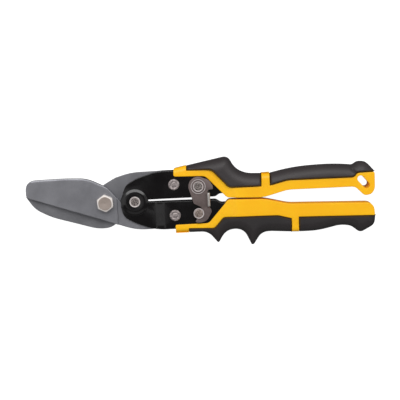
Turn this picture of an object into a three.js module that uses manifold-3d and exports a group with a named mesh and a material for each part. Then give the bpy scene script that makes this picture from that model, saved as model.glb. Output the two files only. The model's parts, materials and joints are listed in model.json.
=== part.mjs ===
// Compound-leverage aviation snips, lying on their back with the blades towards -X.
// Millimetres. X runs along the tool towards the handles, Y across it in the cutting plane, and
// Z along the pivots. The origin is on the axis of the main pivot, at the resting plane z = 0.
import * as THREE from 'three';
import Module from 'manifold-3d';
import { mergeVertices } from 'three/addons/utils/BufferGeometryUtils.js';

const wasm = await Module();
wasm.setup();

// ---- driving dimensions ---------------------------------------------------------------------
const MID_HEIGHT = 11;            // shear plane of the blades above the resting plane
const GAP = 0.3;                  // running gap between neighbouring pieces

const HANDLE_PIVOT = [25.8, 0];   // handles turn on each other here
const LOWER_JAW_EYE = [60.1, 13.4];
const UPPER_JAW_EYE = [60.1, -13.4];
const LATCH_PIVOT = [81.1, 11];
const CATCH = [80.7, -12.3];

const BLADE_THICKNESS = 4.5;      // each jaw at the main pivot
const TAIL_HALF = 2.9;            // half thickness of a jaw's tail behind the pivot
const EYE_HALF = 3.9;             // half thickness of the boss round a tail's rivet
const EYE_RADIUS = 8.4;
const STEP_X = 10.2;              // where the thick blade steps down to the tail
const BOLT_RADIUS = 4;
const BOLT_HEAD_FLATS = 14;
const BOLT_HEAD_HEIGHT = 5.2;

const PLATE = 1.7;                // steel of the handle plates
const LOWER_KNUCKLE_Z = 3.2;      // inner face of the lower handle's plates at the handle pivot
const UPPER_KNUCKLE_Z = LOWER_KNUCKLE_Z + PLATE + GAP;
const COMMON_Z = 4.2;             // inner face of both pairs of plates behind their joggles
const JOGGLE_START = 43.5;
const JOGGLE_END = 51;
const PLATE_TOP = COMMON_Z + PLATE;
const DOME_HEIGHT = 0.8;          // raised plateau pressed into the upper plates at the pivot
const DOME_FOOT = 11.4;
const DOME_TOP = 7.6;

const BAND_HALF = 6.9;            // handle mouldings beside the bare plates
const BODY_HALF = 8.4;            // handle mouldings behind them
const BODY_RAMP = [108, 114];     // X of the ramp from one to the other
const CORE_HALF = 8;              // part of a moulding that its rubber grips surround
const GRIP_HALF = 11;
const GRIP_BEVEL = [1.4, 2.4];    // across the outline, along Z
const BODY_BEVEL = [0.5, 0.5];

const RIVET_HEAD = 4.8;
const RIVET_HEAD_HEIGHT = 1.3;
const RIVET_SHANK = 2.9;
const LATCH_BOTTOM = 7.3;
const LATCH_THICKNESS = 2;
const LATCH_TOP = LATCH_BOTTOM + LATCH_THICKNESS;
const TAB_TOP = 13.5;
const CATCH_NECK = 1.6;           // waist of the catch pin, which the latch hooks

const SPRING_RADIUS = 6.3;        // centre line of the coil
const SPRING_WIRE = 0.65;
const SPRING_PITCH = 1.6;
const SPRING_TURNS = 2.5;
const SPRING_LEG = 13;

// ---- outlines, each a list of corners [x, y, length of the curve on each side] ----------------
const UPPER_BLADE = [
  [-68.3, 7.6, 1.5], [-68.6, 22.1, 7], [-14, 22, 7], [1.5, 14.4, 5],
  [STEP_X, 3.6], [STEP_X, -18.4], [5, -17.4],
];
const UPPER_TAIL = [
  [0, 8], [11, 3, 2], [16.3, -3.5, 3], [22.5, -9.7, 3], [58, -5.4], [58, -21.6],
  [47, -24.6, 4], [26, -25, 9], [8.5, -19], [-4, -12],
];
const LOWER_BLADE = [
  [-69.2, 8, 1], [-61.5, -3.4, 6], [-47.5, -10.9, 7], [-8, -22.9, 6], [3.5, -22.5, 5], [STEP_X, -17.6, 2],
  [STEP_X, 21.3], [-3, 14.2, 5], [-15, 3, 7], [-14, -9.4, 2],
];
const LOWER_TAIL = [
  [0, -8], [11, -3, 2], [16.3, 3.5, 3], [22.5, 9.7, 3], [58, 5.4], [58, 21.6],
  [47, 24.9, 4], [22, 25.4, 8], [9.5, 21.6, 3], [-4, 13],
];
const THICK_TAIL_X = 24;          // behind this a tail fills the space between the plates

const UPPER_PLATE = [
  [15.5, 7.4], [26, 18.6, 8], [46.5, 25.2, 5], [66, 25.2, 3], [74, 23.8, 3], [88, 23, 3],
  [104, 14, 4], [128, 14, 2],
  [128, 3.9, 2], [99.2, 3.9, 1.5], [95.6, 1.4, 1.5], [36, 1.6], HANDLE_PIVOT,
];
const UPPER_KNUCKLE_RADIUS = 12.3;
const SLOT_END = { x: [36.4, 60], y: [-9, 1.6] };  // the slot between the handles cuts into the knuckle
const LOWER_PLATE = [
  [13.3, -3.6, 0.5], [15.4, -13, 5], [25, -18.8, 6], [40, -24.4, 5], [48, -25.3, 3], [66, -25.3, 3],
  [74, -24.3, 3], [88, -24.3, 3], [104, -15, 4], [128, -15, 2], [128, -4.4, 2], [100.2, -4.4, 1.5], [95.8, -1.5, 1.5], [36, -1.2],
  HANDLE_PIVOT,
];
const LOWER_KNUCKLE_RADIUS = 10.5;

const UPPER_BODY = [
  [60.4, 21.2, 0.8], [60.8, 26.2, 2], [71.4, 28.6], [71.4, 25.7, 0.5], [91.8, 24.2, 3], [107.2, 8.2, 2.5],
  [135.2, 8.4], [135.4, 19.7], [143, 19.9], [143.1, 8.7], [158.5, 12.6, 3], [215.4, 12.7, 1.5],
  [219.2, 17.1, 2], [234.2, 16.9, 1], [233.7, 1.6, 5], [225, -4.6, 4.5], [217, 4.3, 3.5], [158.5, 4.5, 4],
  [136.8, -1.2, 5], [106.4, 0, 2], [88.4, 19.8, 3], [62, 20.2, 0.8],
];
const UPPER_FRONT_CORE = [
  [76, 24.5], [78, 27.4, 1.5], [103, 31.6, 3], [111, 19, 4], [122, 15.8, 3], [137, 15.5],
  [137, 5], [108, 5], [91, 22],
];
const UPPER_REAR_CORE = [
  [142, 7], [142, 15.8], [168, 20.4, 8], [198, 20.8, 8], [214, 19.8], [221, 22, 2], [229.5, 17.5, 1],
  [229.5, 15], [219.5, 15], [215.6, 11], [158.5, 11],
];
const LOWER_BODY = [
  [59.5, -21.1, 1], [59.9, -28.3, 1.5], [71.4, -28.5], [71.4, -25.4, 0.5], [92.2, -26, 2.5],
  [102, -16.9, 1.5], [149, -17.3, 2], [160.2, -20.4], [160, -32.4], [167.3, -32.6], [167.5, -19.4],
  [233, -21, 1.2], [232.4, -10, 7], [158.5, -7.7, 4], [136.8, -1.6, 5], [106.4, -0.4, 2],
  [88.4, -20.8, 2.5],
];
const LOWER_FRONT_CORE = [
  [95, -22], [97.5, -30, 1], [103, -25.2, 2], [118.5, -25.2, 3], [126, -34, 2], [133.5, -28.4, 3],
  [161, -29], [161, -15], [101, -15],
];
const LOWER_REAR_CORE = [
  [166, -15], [166, -29.4], [182, -29, 4], [203, -24.5, 5], [212, -26.4, 2], [219.5, -31, 2],
  [228.5, -25, 2], [229.5, -17], [229.5, -15],
];

const UPPER_FRONT_GRIP = [
  [71.8, 28.2], [107.6, 35.8, 5], [112.4, 24, 5], [121.5, 19.3, 5], [134.9, 19.3], [134.9, 4],
  [107, 4], [90, 22], [71.8, 23],
];
const UPPER_REAR_GRIP = [
  [143.4, 19.2], [165, 23.6, 14], [198, 24.6, 12], [214, 22.5, 2.5], [219, 25.6, 2.5], [225.5, 25.4, 3],
  [234.4, 17.2], [225, 10], [150, 5], [143.4, 5],
];
const LOWER_FRONT_GRIP = [
  [71.8, -28.5], [88, -28.6, 6], [96.2, -38.2], [102.8, -27.9, 7.5], [119.4, -27.9, 7.5],
  [126.3, -42], [133.2, -31.6, 4.5], [141, -31.1, 3], [159.8, -32.5], [159.8, -12],
  [104, -12], [90.4, -23.4], [71.8, -23.3],
];
const LOWER_REAR_GRIP = [
  [167.8, -32.7], [183, -32.7, 8], [204, -27.7, 5], [212, -29.6, 3], [219.6, -35.8, 3.5], [231.9, -28.9, 4],
  [233.6, -21], [230, -14], [167.8, -14],
];

const HANGING_HOLE_ENDS = [[221, 11.6], [226, 6]];
const HANGING_HOLE_RADIUS = 3;

// The catch pin leaves the hook down and to the left, so the lip's inner edge slants that way.
const LATCH = [
  [72.3, 9.5], [74.6, 1, 3], [77, -4.4, 2.5], [81.9, -7.3, 1], [83.2, -10.2, 1], [82.8, -12.9, 0.3],
  [77.5, -18.9, 0.3], [77.8, -20, 0.6], [81.2, -20.7, 2], [87.4, -19.2, 3], [92.3, -11, 2],
  [90.6, -7.6, 0.8], [88.9, -7, 0.4], [88.9, 6, 0.4], [90, 7.8, 0.6], [93.6, 8, 0.8], [94, 10.2, 1.2],
  [90.8, 16.2, 2.5], [85, 19],
];
const LATCH_ROUND = 9;
const TAB = { x: [88.6, 90.9], y: [-6.5, 5.5] };

// ---- solids ---------------------------------------------------------------------------------
const CURVE_STEPS = 3;
const ROUND_STEPS = 16;

function outlineShape(corners) {
  const shape = new THREE.Shape();
  corners.forEach(([x, y, curve = 0], index) => {
    const corner = new THREE.Vector2(x, y);
    const before = new THREE.Vector2(...corners.at(index - 1));
    const after = new THREE.Vector2(...corners[(index + 1) % corners.length]);
    const enter = corner.clone().lerp(before, curve / corner.distanceTo(before));
    const leave = corner.clone().lerp(after, curve / corner.distanceTo(after));
    if (index === 0) {
      shape.moveTo(enter.x, enter.y);
    } else {
      shape.lineTo(enter.x, enter.y);
    }
    if (curve > 0) {
      shape.quadraticCurveTo(x, y, leave.x, leave.y);
    }
  });
  return shape;
}

// A three.js geometry as a solid that can be joined and cut.
function solid(geometry) {
  const bare = new THREE.BufferGeometry();
  bare.setAttribute('position', geometry.getAttribute('position'));
  bare.setIndex(geometry.index);
  const merged = mergeVertices(bare, 1e-6);
  const index = merged.index.array;
  const triangles = [];
  for (let i = 0; i < index.length; i += 3) {
    const [a, b, c] = index.slice(i, i + 3);
    if (a !== b && b !== c && c !== a) {
      triangles.push(a, b, c);
    }
  }
  return new wasm.Manifold(new wasm.Mesh({
    numProp: 3,
    vertProperties: new Float32Array(merged.getAttribute('position').array),
    triVerts: new Uint32Array(triangles),
  }));
}

function geometryOf(piece) {
  const mesh = piece.getMesh();
  const geometry = new THREE.BufferGeometry();
  geometry.setAttribute('position', new THREE.BufferAttribute(mesh.vertProperties, 3));
  geometry.setIndex(new THREE.BufferAttribute(mesh.triVerts, 1));
  return geometry;
}

// An outline from one height to another, grown sideways by grow.
function prism(corners, low, high, grow = 0) {
  const geometry = new THREE.ExtrudeGeometry(outlineShape(corners), {
    depth: high - low,
    curveSegments: CURVE_STEPS,
    bevelEnabled: true,
    bevelSegments: 0,
    bevelThickness: 0,
    bevelSize: 0,
    bevelOffset: grow,
  });
  geometry.translate(0, 0, low);
  return solid(geometry);
}

// An outline of thickness 2 * half about the shear plane, with chamfered edges.
function chamfered(corners, half, [across, along]) {
  const geometry = new THREE.ExtrudeGeometry(outlineShape(corners), {
    depth: 2 * (half - along),
    curveSegments: CURVE_STEPS,
    bevelEnabled: true,
    bevelSegments: 1,
    bevelThickness: along,
    bevelSize: across,
    bevelOffset: -across,
  });
  geometry.translate(0, 0, along - half);
  return solid(geometry);
}

// A solid of revolution about a vertical axis at [x, y]; the profile is [radius, z] points.
function turned([x, y], profile, steps = ROUND_STEPS) {
  const points = profile.map(([radius, z]) => new THREE.Vector2(radius, z));
  if (THREE.ShapeUtils.area(points) < 0) {
    points.reverse();
  }
  points.push(points[0].clone());
  const geometry = new THREE.LatheGeometry(points, steps);
  geometry.rotateX(Math.PI / 2);
  geometry.translate(x, y, 0);
  return solid(geometry);
}

function rod(centre, radius, low, high, steps = ROUND_STEPS) {
  return turned(centre, [[0, low], [radius, low], [radius, high], [0, high]], steps);
}

function tube(centre, inner, outer, low, high) {
  return turned(centre, [[inner, low], [outer, low], [outer, high], [inner, high]]);
}

// A sheet that follows a profile of [x, z] points, wide enough to cut any outline from.
function foldedSheet(profile, side) {
  const width = 120;
  const points = profile.map(([x, z]) => new THREE.Vector2(x, side * z));
  const geometry = new THREE.ExtrudeGeometry(new THREE.Shape(points), { depth: width, bevelEnabled: false });
  geometry.rotateX(Math.PI / 2);
  geometry.translate(0, width / 2, 0);
  return solid(geometry);
}

function block(xRange, yRange, zRange) {
  const sizes = [xRange, yRange, zRange].map(([low, high]) => high - low);
  const centre = [xRange, yRange, zRange].map(([low, high]) => (low + high) / 2);
  const geometry = new THREE.BoxGeometry(...sizes);
  geometry.translate(...centre);
  return solid(geometry);
}

// ---- jaws -----------------------------------------------------------------------------------
function jawTail(corners, eye, side) {
  const inner = Math.min(side * GAP / 2, side * TAIL_HALF);
  const outer = Math.max(side * GAP / 2, side * TAIL_HALF);
  const behind = block([THICK_TAIL_X, 90], [-40, 40], [-9, 9]);
  const thick = prism(corners, -TAIL_HALF, TAIL_HALF).intersect(behind);
  return prism(corners, inner, outer).add(thick).add(rod(eye, EYE_RADIUS, -EYE_HALF, EYE_HALF));
}

function jaw(blade, tail, eye, side, boltHole) {
  const face = side * GAP / 2;
  const back = side * (GAP / 2 + BLADE_THICKNESS);
  return prism(blade, Math.min(face, back), Math.max(face, back))
    .add(jawTail(tail, eye, side))
    .subtract(rod([0, 0], boltHole, -9, 9))
    .subtract(rod(eye, RIVET_SHANK + GAP, -9, 9));
}

function upperJaw() {
  return jaw(UPPER_BLADE, UPPER_TAIL, UPPER_JAW_EYE, 1, BOLT_RADIUS + GAP);
}

// The bolt stays with the upper jaw, so the lower jaw's hole takes the linkage's small play.
function lowerJaw() {
  return jaw(LOWER_BLADE, LOWER_TAIL, LOWER_JAW_EYE, -1, BOLT_RADIUS + 0.5);
}

function hexagon(flats, low, high) {
  const cornerRadius = flats / Math.sqrt(3);
  return rod([0, 0], cornerRadius, low, high, 6);
}

function pivotBolt() {
  const seat = GAP / 2 + BLADE_THICKNESS + GAP;
  const top = seat + BOLT_HEAD_HEIGHT;
  const flats = BOLT_HEAD_FLATS;
  const chamfer = turned([0, 0], [
    [0, top], [flats * 0.46, top], [flats * 0.62, top - 1.4], [flats * 0.62, seat], [0, seat],
  ]);
  return hexagon(flats, seat, top).intersect(chamfer).add(rod([0, 0], BOLT_RADIUS, -MID_HEIGHT, seat + 1));
}

const WASHER_BACK = -(GAP / 2 + BLADE_THICKNESS + GAP + 1.2);

function pivotWasher() {
  return tube([0, 0], BOLT_RADIUS + GAP, 8.2, WASHER_BACK, WASHER_BACK + 1.2);
}

function pivotNut() {
  const top = WASHER_BACK - GAP;
  return hexagon(13, 0.6 - MID_HEIGHT, top).subtract(rod([0, 0], BOLT_RADIUS + GAP, -12, 0));
}

// ---- handle plates --------------------------------------------------------------------------
function plateProfile(knuckleZ) {
  const near = [[0, knuckleZ], [JOGGLE_START, knuckleZ], [JOGGLE_END, COMMON_Z], [140, COMMON_Z]];
  const far = near.map(([x, z]) => [x, z + PLATE]).reverse();
  return [...near, ...far];
}

function handlePlate(corners, knuckleRadius, knuckleZ, side, holes) {
  const blank = prism(corners, -9, 9).add(rod(HANDLE_PIVOT, knuckleRadius, -9, 9));
  let plate = blank.intersect(foldedSheet(plateProfile(knuckleZ), side));
  if (knuckleZ === UPPER_KNUCKLE_Z) {
    plate = plate.add(pivotDome(side)).subtract(block(SLOT_END.x, SLOT_END.y, [-12, 12]));
  }
  holes.forEach(([centre, radius]) => {
    plate = plate.subtract(rod(centre, radius, -12, 12));
  });
  return plate;
}

function pivotDome(side) {
  const foot = UPPER_KNUCKLE_Z + PLATE - 0.5;
  const top = UPPER_KNUCKLE_Z + PLATE + DOME_HEIGHT;
  const profile = [[0, foot], [DOME_FOOT, foot], [DOME_FOOT, foot + 0.5], [DOME_TOP, top], [0, top]];
  return turned(HANDLE_PIVOT, profile.map(([radius, z]) => [radius, side * z]));
}

function upperPlate(side) {
  const holes = [[HANDLE_PIVOT, 3.8], [LOWER_JAW_EYE, RIVET_SHANK + GAP], [LATCH_PIVOT, RIVET_SHANK + GAP]];
  return handlePlate(UPPER_PLATE, UPPER_KNUCKLE_RADIUS, UPPER_KNUCKLE_Z, side, holes);
}

function lowerPlate(side) {
  const holes = [[HANDLE_PIVOT, 3.8], [UPPER_JAW_EYE, RIVET_SHANK + GAP], [CATCH, 2.4 + GAP]];
  return handlePlate(LOWER_PLATE, LOWER_KNUCKLE_RADIUS, LOWER_KNUCKLE_Z, side, holes);
}

// ---- rivets, pins and spacers ---------------------------------------------------------------
function rivet(centre, headRadius, shank, seat) {
  const top = seat + GAP + RIVET_HEAD_HEIGHT;
  const half = [
    [0, top], [headRadius - 0.6, top], [headRadius, top - 0.5], [headRadius, seat + GAP],
    [shank, seat + GAP],
  ];
  const mirrored = half.map(([radius, z]) => [radius, -z]).reverse();
  return turned(centre, [...half, ...mirrored]);
}

function handlePivotRivet() {
  return rivet(HANDLE_PIVOT, 4.7, 3.5, UPPER_KNUCKLE_Z + PLATE + DOME_HEIGHT);
}

function catchPin() {
  const headSeat = LATCH_TOP + GAP;
  const backSeat = -(PLATE_TOP + GAP);
  return turned(CATCH, [
    [0, headSeat + RIVET_HEAD_HEIGHT], [4.1, headSeat + RIVET_HEAD_HEIGHT],
    [4.65, headSeat + 0.8], [4.65, headSeat], [CATCH_NECK, headSeat], [CATCH_NECK, 7],
    [3.4, 7], [3.4, PLATE_TOP + GAP], [2.4, PLATE_TOP + GAP], [2.4, backSeat],
    [4.6, backSeat], [4.6, backSeat - 0.8], [4.1, backSeat - RIVET_HEAD_HEIGHT], [0, backSeat - RIVET_HEAD_HEIGHT],
  ]);
}

function latchPivotRivet() {
  const headSeat = LATCH_TOP + 2 * GAP + 0.6;
  const backSeat = -(PLATE_TOP + GAP);
  return turned(LATCH_PIVOT, [
    [0, headSeat + 0.9], [3.9, headSeat + 0.9], [4.4, headSeat + 0.5], [4.4, headSeat],
    [RIVET_SHANK, headSeat], [RIVET_SHANK, backSeat],
    [4.6, backSeat], [4.6, backSeat - 0.8], [4.1, backSeat - RIVET_HEAD_HEIGHT], [0, backSeat - RIVET_HEAD_HEIGHT],
  ]);
}

function latchLever() {
  const plate = prism(LATCH, LATCH_BOTTOM, LATCH_TOP)
    .add(rod(LATCH_PIVOT, LATCH_ROUND, LATCH_BOTTOM, LATCH_TOP))
    .add(block(TAB.x, TAB.y, [LATCH_BOTTOM, TAB_TOP]));
  return plate.subtract(rod(LATCH_PIVOT, RIVET_SHANK + GAP, 0, 20));
}

// ---- return spring --------------------------------------------------------------------------
class TorsionSpring extends THREE.Curve {
  constructor() {
    super();
    this.arc = SPRING_TURNS * 2 * Math.PI * SPRING_RADIUS;
    this.total = this.arc + 2 * SPRING_LEG;
  }

  getPoint(t, target = new THREE.Vector3()) {
    const along = t * this.total - SPRING_LEG;
    const onCoil = THREE.MathUtils.clamp(along, 0, this.arc);
    const angle = Math.PI / 2 + onCoil / SPRING_RADIUS;
    const past = Math.abs(along - onCoil);
    return target.set(
      HANDLE_PIVOT[0] + SPRING_RADIUS * Math.cos(angle) + past,
      HANDLE_PIVOT[1] + SPRING_RADIUS * Math.sin(angle),
      (0.5 - onCoil / this.arc) * SPRING_PITCH * SPRING_TURNS,
    );
  }
}

function returnSpring() {
  const wireSides = 6;
  const section = new THREE.Shape();
  for (let i = 0; i < wireSides; i += 1) {
    const angle = (i / wireSides) * 2 * Math.PI;
    const point = [SPRING_WIRE * Math.cos(angle), SPRING_WIRE * Math.sin(angle)];
    if (i === 0) {
      section.moveTo(...point);
    } else {
      section.lineTo(...point);
    }
  }
  const geometry = new THREE.ExtrudeGeometry(section, {
    steps: 64, extrudePath: new TorsionSpring(), bevelEnabled: false,
  });
  return solid(geometry);
}

// ---- handle mouldings and grips -------------------------------------------------------------
function bodyFaces(side) {
  const outer = [[50, BAND_HALF], [BODY_RAMP[0], BAND_HALF], [BODY_RAMP[1], BODY_HALF], [240, BODY_HALF]];
  return foldedSheet([[50, -1], ...outer, [240, -1]], side);
}

function handleBody(corners, cores, plate, eye) {
  let body = chamfered(corners, BODY_HALF, BODY_BEVEL).intersect(bodyFaces(1).add(bodyFaces(-1)));
  cores.forEach((core) => {
    body = body.add(prism(core, -CORE_HALF, CORE_HALF));
  });
  [1, -1].forEach((side) => {
    const inner = side * (COMMON_Z - GAP);
    const outer = side * (PLATE_TOP + GAP);
    body = body.subtract(prism(plate, Math.min(inner, outer), Math.max(inner, outer), GAP));
  });
  return body.subtract(rod(eye, EYE_RADIUS + 1, -EYE_HALF - GAP, EYE_HALF + GAP));
}

function grip(corners, body, core) {
  return chamfered(corners, GRIP_HALF, GRIP_BEVEL)
    .subtract(prism(body, -20, 20, GAP))
    .subtract(prism(core, -CORE_HALF - GAP, CORE_HALF + GAP, GAP));
}

function upperHandleBody() {
  const [first, second] = HANGING_HOLE_ENDS.map((end) => rod(end, HANGING_HOLE_RADIUS, -20, 20));
  const along = new THREE.Vector2(...HANGING_HOLE_ENDS[1]).sub(new THREE.Vector2(...HANGING_HOLE_ENDS[0]));
  const across = new THREE.Vector2(-along.y, along.x).setLength(HANGING_HOLE_RADIUS);
  const slot = [
    [0, 1], [1, 1], [1, -1], [0, -1],
  ].map(([end, way]) => [
    HANGING_HOLE_ENDS[end][0] + way * across.x,
    HANGING_HOLE_ENDS[end][1] + way * across.y,
  ]);
  return handleBody(UPPER_BODY, [UPPER_FRONT_CORE, UPPER_REAR_CORE], UPPER_PLATE, LOWER_JAW_EYE)
    .subtract(first)
    .subtract(second)
    .subtract(prism(slot, -20, 20));
}

function lowerHandleBody() {
  return handleBody(LOWER_BODY, [LOWER_FRONT_CORE, LOWER_REAR_CORE], LOWER_PLATE, UPPER_JAW_EYE);
}

// ---- materials ------------------------------------------------------------------------------
const finishes = {
  bladeSteel: { color: 0x77777c, roughness: 0.42, metalness: 0.9 },
  blackSteel: { color: 0x161415, roughness: 0.3, metalness: 0.4 },
  rivetSteel: { color: 0xa8a09c, roughness: 0.4, metalness: 0.9 },
  latchSteel: { color: 0x7a7370, roughness: 0.45, metalness: 0.85 },
  springSteel: { color: 0x5b5b5e, roughness: 0.4, metalness: 0.9 },
  yellowPlastic: { color: 0xf7b315, roughness: 0.45, metalness: 0 },
  blackRubber: { color: 0x373334, roughness: 0.75, metalness: 0 },
};

function piece(name, finish, shape) {
  const mesh = new THREE.Mesh(geometryOf(shape), new THREE.MeshStandardMaterial(finishes[finish]));
  mesh.name = name;
  return mesh;
}

// ---- assembly -------------------------------------------------------------------------------
const group = new THREE.Group();
group.position.z = MID_HEIGHT;
group.add(
  piece('upper_jaw', 'bladeSteel', upperJaw()),
  piece('lower_jaw', 'bladeSteel', lowerJaw()),
  piece('pivot_bolt', 'rivetSteel', pivotBolt()),
  piece('pivot_washer', 'rivetSteel', pivotWasher()),
  piece('pivot_nut', 'rivetSteel', pivotNut()),
  piece('upper_front_plate', 'blackSteel', upperPlate(1)),
  piece('upper_back_plate', 'blackSteel', upperPlate(-1)),
  piece('lower_front_plate', 'blackSteel', lowerPlate(1)),
  piece('lower_back_plate', 'blackSteel', lowerPlate(-1)),
  piece('handle_pivot_rivet', 'rivetSteel', handlePivotRivet()),
  piece('handle_pivot_spacer', 'rivetSteel', tube(HANDLE_PIVOT, 3.8, 5.1, -2.9, 2.9)),
  piece('upper_jaw_rivet', 'rivetSteel', rivet(UPPER_JAW_EYE, RIVET_HEAD, RIVET_SHANK, PLATE_TOP)),
  piece('lower_jaw_rivet', 'rivetSteel', rivet(LOWER_JAW_EYE, RIVET_HEAD, RIVET_SHANK, PLATE_TOP)),
  piece('latch_lever', 'latchSteel', latchLever()),
  piece('latch_pivot_rivet', 'rivetSteel', latchPivotRivet()),
  piece('latch_washer', 'rivetSteel', tube(LATCH_PIVOT, RIVET_SHANK + GAP, 6, LATCH_TOP + GAP, LATCH_TOP + GAP + 0.6)),
  piece('latch_wave_washer', 'rivetSteel', tube(LATCH_PIVOT, RIVET_SHANK + GAP, 6.4, PLATE_TOP + GAP, LATCH_BOTTOM - GAP)),
  piece('latch_pivot_spacer', 'rivetSteel', tube(LATCH_PIVOT, RIVET_SHANK + GAP, 4.6, -EYE_HALF, EYE_HALF)),
  piece('catch_pin', 'rivetSteel', catchPin()),
  piece('catch_pin_spacer', 'rivetSteel', tube(CATCH, 2.4 + GAP, 4.2, -EYE_HALF, EYE_HALF)),
  piece('return_spring', 'springSteel', returnSpring()),
  piece('upper_handle_body', 'yellowPlastic', upperHandleBody()),
  piece('lower_handle_body', 'yellowPlastic', lowerHandleBody()),
  piece('upper_front_grip', 'blackRubber', grip(UPPER_FRONT_GRIP, UPPER_BODY, UPPER_FRONT_CORE)),
  piece('upper_rear_grip', 'blackRubber', grip(UPPER_REAR_GRIP, UPPER_BODY, UPPER_REAR_CORE)),
  piece('lower_front_grip', 'blackRubber', grip(LOWER_FRONT_GRIP, LOWER_BODY, LOWER_FRONT_CORE)),
  piece('lower_rear_grip', 'blackRubber', grip(LOWER_REAR_GRIP, LOWER_BODY, LOWER_REAR_CORE)),
);

export default group;
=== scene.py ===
"""Looks of the aviation snips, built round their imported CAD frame.

Lengths are in millimetres until a mesh is made. X runs along the tool from the blades to the
handles' ends, Y across it, and Z along the pivots, counted from the plane where the blades meet.
"""

import json
import math

import bpy
import numpy as np

from mathutils import Matrix, Vector
from mathutils.geometry import delaunay_2d_cdt


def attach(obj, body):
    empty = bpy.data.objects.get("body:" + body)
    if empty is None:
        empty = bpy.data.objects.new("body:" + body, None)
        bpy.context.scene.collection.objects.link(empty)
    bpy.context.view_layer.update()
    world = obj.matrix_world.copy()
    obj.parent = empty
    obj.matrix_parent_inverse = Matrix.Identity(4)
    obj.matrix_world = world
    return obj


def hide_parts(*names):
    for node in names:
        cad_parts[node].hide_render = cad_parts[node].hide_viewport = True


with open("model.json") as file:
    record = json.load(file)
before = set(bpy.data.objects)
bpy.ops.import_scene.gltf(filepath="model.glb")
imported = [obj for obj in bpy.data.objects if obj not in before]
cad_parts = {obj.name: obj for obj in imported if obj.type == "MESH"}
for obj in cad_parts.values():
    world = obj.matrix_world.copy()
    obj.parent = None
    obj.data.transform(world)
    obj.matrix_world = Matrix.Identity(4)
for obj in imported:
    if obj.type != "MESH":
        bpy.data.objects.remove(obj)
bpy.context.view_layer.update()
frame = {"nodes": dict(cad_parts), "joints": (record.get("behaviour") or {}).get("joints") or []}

MM = 1000  # millimetres in the frame's metre

PIVOTS = {joint["name"]: joint["pos_m"] for joint in frame["joints"]}
MID_HEIGHT = MM * PIVOTS["handle_pivot"][2]
HANDLE_PIVOT = [MM * v for v in PIVOTS["handle_pivot"][:2]]
UPPER_JAW_EYE = [MM * v for v in PIVOTS["upper_jaw_pivot"][:2]]
LOWER_JAW_EYE = [MM * v for v in PIVOTS["lower_jaw_pivot"][:2]]
LATCH_PIVOT = [MM * v for v in PIVOTS["latch_pivot"][:2]]
CATCH = [80.7, -12.3]

GAP = 0.3  # clearance under every head, washer and nut
RIVET_HOLE = 3.2
HANDLE_PIVOT_HOLE = 3.8
CATCH_HOLE = 2.7

CORNER_STEPS = 10
PROFILE_STEPS = 5
SHARP_ANGLE = 32


# ---- outlines -------------------------------------------------------------------------------
def curved(corners, steps):
    """Points along a closed list of [x, y, curve] corners, and the corner that each comes from.
    A curve is the length that the rounding takes from both sides of its corner."""
    points, owners = [], []
    for i, corner in enumerate(corners):
        here = np.array(corner[:2], float)
        curve = corner[2] if len(corner) > 2 else 0
        if not curve:
            points.append(here)
            owners.append(i)
            continue
        before = np.array(corners[i - 1][:2], float)
        after = np.array(corners[(i + 1) % len(corners)][:2], float)
        enter = here + (before - here) * curve / np.linalg.norm(before - here)
        leave = here + (after - here) * curve / np.linalg.norm(after - here)
        for t in np.linspace(0, 1, steps + 1):
            points.append((1 - t) ** 2 * enter + 2 * t * (1 - t) * here + t * t * leave)
            owners.append(i)
    return points, owners


def outline(corners, spacing=1.0):
    """Evenly spaced points round a closed list of corners, and the corner that each comes from."""
    points, owners = curved(corners, CORNER_STEPS)
    dense, dense_owners = [], []
    for i, point in enumerate(points):
        following = points[(i + 1) % len(points)]
        cuts = max(1, int(np.ceil(np.linalg.norm(following - point) / spacing)))
        for k in range(cuts):
            dense.append(point + (following - point) * k / cuts)
            dense_owners.append(owners[i])
    return np.array(dense), np.array(dense_owners)


def arc(centre, radius, start, end, count):
    """Corners along a circle, from one angle to another in degrees."""
    angles = np.radians(np.linspace(start, end, count))
    return [[centre[0] + radius * math.cos(a), centre[1] + radius * math.sin(a)] for a in angles]


def circle(centre, radius, count=48):
    """A ring of evenly spaced points."""
    return np.array(arc(centre, radius, 0, 360 - 360 / count, count))


def distance_to(points, line, closed=False):
    """Distance from each point to a polyline."""
    start = line if closed else line[:-1]
    end = np.roll(line, -1, axis=0) if closed else line[1:]
    best = np.full(len(points), np.inf)
    for a, b in zip(start, end):
        along = b - a
        length = max(float(along @ along), 1e-12)
        t = np.clip((points - a) @ along / length, 0, 1)
        best = np.minimum(best, np.linalg.norm(points - a - t[:, None] * along, axis=1))
    return best


def inside(points, ring):
    """Whether each point is within a closed ring."""
    x, y = points[:, 0], points[:, 1]
    result = np.zeros(len(points), bool)
    for (ax, ay), (bx, by) in zip(ring, np.roll(ring, -1, axis=0)):
        if ay == by:
            continue
        result ^= ((ay > y) != (by > y)) & (x < (bx - ax) * (y - ay) / (by - ay) + ax)
    return result


def rounded(distance, radius):
    """How far a rounded edge has dropped, at a distance in from it."""
    rest = radius - np.clip(distance, 0, radius)
    return radius - np.sqrt(np.maximum(radius**2 - rest**2, 0))


def smooth(value, low, high):
    """An eased step from 0 at low to 1 at high."""
    t = np.clip((value - low) / (high - low), 0, 1)
    return t * t * (3 - 2 * t)


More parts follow.
